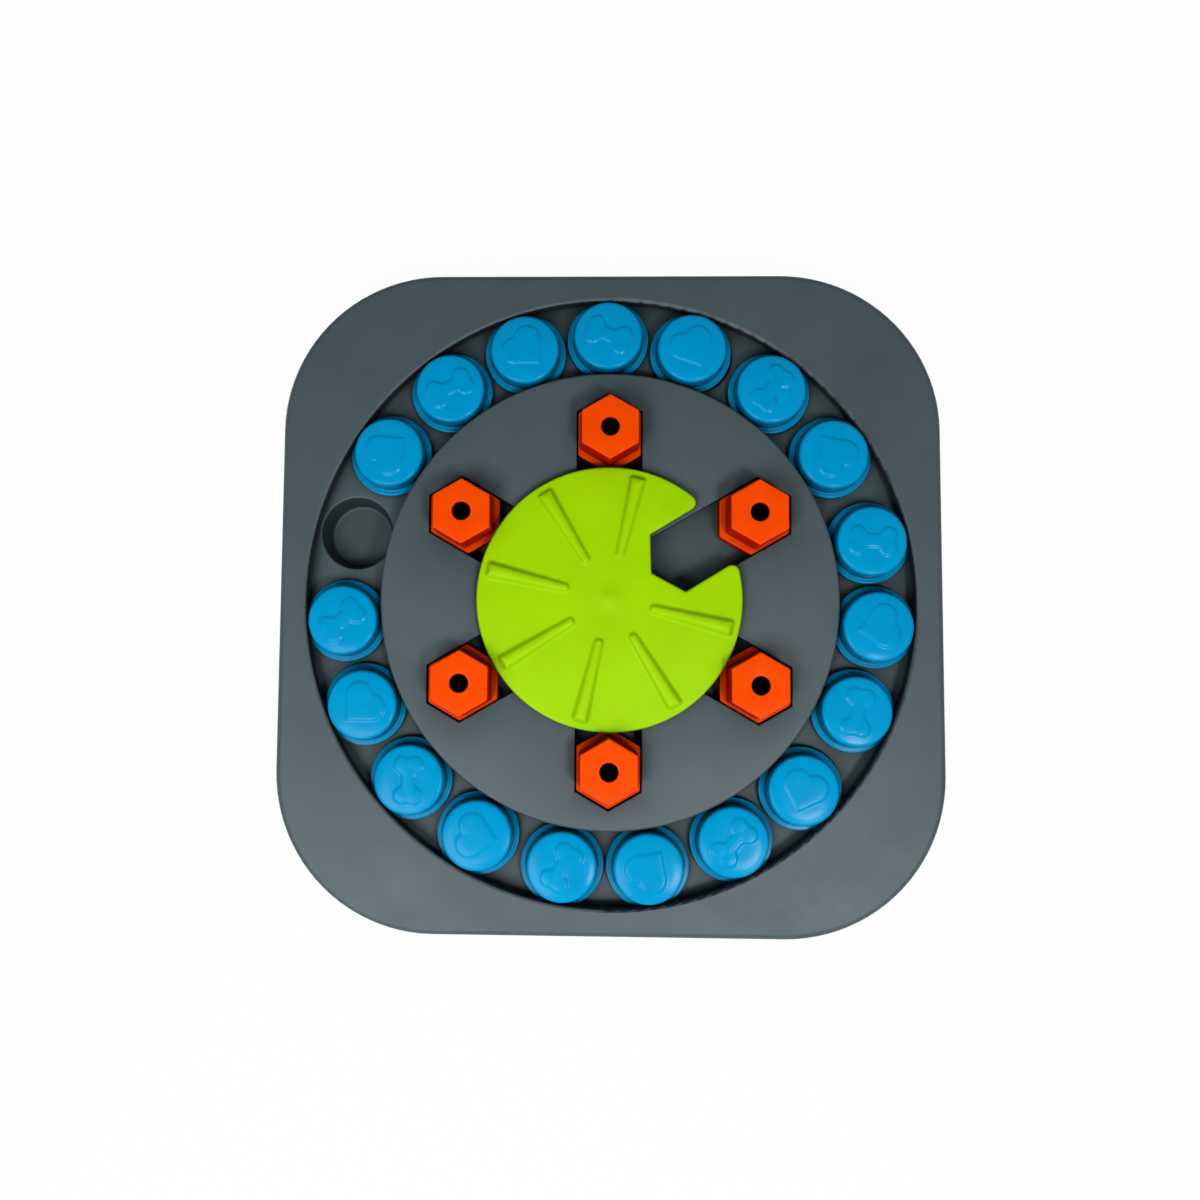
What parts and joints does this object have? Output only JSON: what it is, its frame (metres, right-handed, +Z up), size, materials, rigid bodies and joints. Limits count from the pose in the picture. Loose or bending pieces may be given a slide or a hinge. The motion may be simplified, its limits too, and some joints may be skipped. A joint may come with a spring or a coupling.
{
  "type": "dog puzzle feeder board",
  "caption": "Square dog puzzle feeder: round channel of sliding treat covers with bone and heart reliefs, hexagonal sliding blocks and a notched spinner over treat cups.",
  "frame": {"origin": "centre of the board on the plane its rubber feet stand on", "axes": "+Z up out of the board, +Y to the far side, +X to the right, with the empty cup at upper left seen from above"},
  "size_m": [0.2938, 0.2938, 0.0395],
  "materials": {
    "slate_abs": "fine moulded texture",
    "blue_abs": "polished mould",
    "orange_abs": "satin",
    "lime_abs": "satin",
    "rubber": "matte",
    "steel": "zinc plated"
  },
  "bodies": {
    "board": {"top_frame": "slate_abs", "ring_tray": "slate_abs", "centre_tray": "slate_abs", "centre_platform": "slate_abs", "bottom_cover": "slate_abs", "rubber_feet": "rubber", "cover_screws": "steel", "platform_screws": "steel"},
    "spinner": {"spinner": "lime_abs", "spinner_washer": "steel", "spinner_screw": "steel"},
    "slider_01": {"slider_01_heart": "blue_abs"},
    "slider_02": {"slider_02_bone": "blue_abs"},
    "slider_03": {"slider_03_heart": "blue_abs"},
    "slider_04": {"slider_04_bone": "blue_abs"},
    "slider_05": {"slider_05_heart": "blue_abs"},
    "slider_06": {"slider_06_bone": "blue_abs"},
    "slider_07": {"slider_07_heart": "blue_abs"},
    "slider_08": {"slider_08_bone": "blue_abs"},
    "slider_09": {"slider_09_heart": "blue_abs"},
    "slider_10": {"slider_10_bone": "blue_abs"},
    "slider_11": {"slider_11_heart": "blue_abs"},
    "slider_12": {"slider_12_bone": "blue_abs"},
    "slider_13": {"slider_13_heart": "blue_abs"},
    "slider_14": {"slider_14_bone": "blue_abs"},
    "slider_15": {"slider_15_heart": "blue_abs"},
    "slider_16": {"slider_16_bone": "blue_abs"},
    "slider_17": {"slider_17_heart": "blue_abs"},
    "slider_18": {"slider_18_bone": "blue_abs"},
    "hex_block_1": {"hex_block_1": "orange_abs"},
    "hex_block_2": {"hex_block_2": "orange_abs"},
    "hex_block_3": {"hex_block_3": "orange_abs"},
    "hex_block_4": {"hex_block_4": "orange_abs"},
    "hex_block_5": {"hex_block_5": "orange_abs"},
    "hex_block_6": {"hex_block_6": "orange_abs"}
  },
  "joints": [
    {"name": "spinner_turn", "type": "hinge", "parent": "board", "child": "spinner", "pos_m": [0, 0, 0.026], "axis": [0, 0, 1], "range_deg": [0, 360]},
    {"name": "ring_ride", "type": "hinge", "parent": "board", "child": "slider_18", "pos_m": [0, 0, 0.0215], "axis": [0, 0, 1], "continuous": true},
    {"name": "slider_02_ride", "type": "hinge", "parent": "board", "child": "slider_02", "pos_m": [0, 0, 0.0215], "axis": [0, 0, 1], "continuous": true},
    {"name": "slider_03_ride", "type": "hinge", "parent": "board", "child": "slider_03", "pos_m": [0, 0, 0.0215], "axis": [0, 0, 1], "continuous": true},
    {"name": "slider_04_ride", "type": "hinge", "parent": "board", "child": "slider_04", "pos_m": [0, 0, 0.0215], "axis": [0, 0, 1], "continuous": true},
    {"name": "slider_05_ride", "type": "hinge", "parent": "board", "child": "slider_05", "pos_m": [0, 0, 0.0215], "axis": [0, 0, 1], "continuous": true},
    {"name": "slider_06_ride", "type": "hinge", "parent": "board", "child": "slider_06", "pos_m": [0, 0, 0.0215], "axis": [0, 0, 1], "continuous": true},
    {"name": "slider_07_ride", "type": "hinge", "parent": "board", "child": "slider_07", "pos_m": [0, 0, 0.0215], "axis": [0, 0, 1], "continuous": true},
    {"name": "slider_08_ride", "type": "hinge", "parent": "board", "child": "slider_08", "pos_m": [0, 0, 0.0215], "axis": [0, 0, 1], "continuous": true},
    {"name": "slider_09_ride", "type": "hinge", "parent": "board", "child": "slider_09", "pos_m": [0, 0, 0.0215], "axis": [0, 0, 1], "continuous": true},
    {"name": "slider_10_ride", "type": "hinge", "parent": "board", "child": "slider_10", "pos_m": [0, 0, 0.0215], "axis": [0, 0, 1], "continuous": true},
    {"name": "slider_11_ride", "type": "hinge", "parent": "board", "child": "slider_11", "pos_m": [0, 0, 0.0215], "axis": [0, 0, 1], "continuous": true},
    {"name": "slider_12_ride", "type": "hinge", "parent": "board", "child": "slider_12", "pos_m": [0, 0, 0.0215], "axis": [0, 0, 1], "continuous": true},
    {"name": "slider_13_ride", "type": "hinge", "parent": "board", "child": "slider_13", "pos_m": [0, 0, 0.0215], "axis": [0, 0, 1], "continuous": true},
    {"name": "slider_14_ride", "type": "hinge", "parent": "board", "child": "slider_14", "pos_m": [0, 0, 0.0215], "axis": [0, 0, 1], "continuous": true},
    {"name": "slider_15_ride", "type": "hinge", "parent": "board", "child": "slider_15", "pos_m": [0, 0, 0.0215], "axis": [0, 0, 1], "continuous": true},
    {"name": "slider_16_ride", "type": "hinge", "parent": "board", "child": "slider_16", "pos_m": [0, 0, 0.0215], "axis": [0, 0, 1], "continuous": true},
    {"name": "slider_17_ride", "type": "hinge", "parent": "board", "child": "slider_17", "pos_m": [0, 0, 0.0215], "axis": [0, 0, 1], "continuous": true},
    {"name": "slider_01_step", "type": "hinge", "parent": "slider_18", "child": "slider_01", "pos_m": [0, 0, 0.0215], "axis": [0, 0, 1], "range_deg": [0, 19.5]},
    {"name": "hex_block_1_slide", "type": "slide", "parent": "board", "child": "hex_block_1", "axis": [0.866, 0.5, 0], "range_m": [-0.03715, 0]},
    {"name": "hex_block_2_slide", "type": "slide", "parent": "board", "child": "hex_block_2", "axis": [0.866, -0.5, 0], "range_m": [-0.00115, 0]},
    {"name": "hex_block_3_slide", "type": "slide", "parent": "board", "child": "hex_block_3", "axis": [0, -1, 0], "range_m": [-0.00115, 0]},
    {"name": "hex_block_4_slide", "type": "slide", "parent": "board", "child": "hex_block_4", "axis": [-0.866, -0.5, 0], "range_m": [-0.00115, 0]},
    {"name": "hex_block_5_slide", "type": "slide", "parent": "board", "child": "hex_block_5", "axis": [-0.866, 0.5, 0], "range_m": [-0.00115, 0]},
    {"name": "hex_block_6_slide", "type": "slide", "parent": "board", "child": "hex_block_6", "axis": [0, 1, 0], "range_m": [-0.00115, 0]}
  ],
  "couplings": [
    {"joint": "slider_02_ride", "follows": "ring_ride", "ratio": 1},
    {"joint": "slider_03_ride", "follows": "ring_ride", "ratio": 1},
    {"joint": "slider_04_ride", "follows": "ring_ride", "ratio": 1},
    {"joint": "slider_05_ride", "follows": "ring_ride", "ratio": 1},
    {"joint": "slider_06_ride", "follows": "ring_ride", "ratio": 1},
    {"joint": "slider_07_ride", "follows": "ring_ride", "ratio": 1},
    {"joint": "slider_08_ride", "follows": "ring_ride", "ratio": 1},
    {"joint": "slider_09_ride", "follows": "ring_ride", "ratio": 1},
    {"joint": "slider_10_ride", "follows": "ring_ride", "ratio": 1},
    {"joint": "slider_11_ride", "follows": "ring_ride", "ratio": 1},
    {"joint": "slider_12_ride", "follows": "ring_ride", "ratio": 1},
    {"joint": "slider_13_ride", "follows": "ring_ride", "ratio": 1},
    {"joint": "slider_14_ride", "follows": "ring_ride", "ratio": 1},
    {"joint": "slider_15_ride", "follows": "ring_ride", "ratio": 1},
    {"joint": "slider_16_ride", "follows": "ring_ride", "ratio": 1},
    {"joint": "slider_17_ride", "follows": "ring_ride", "ratio": 1}
  ]
}
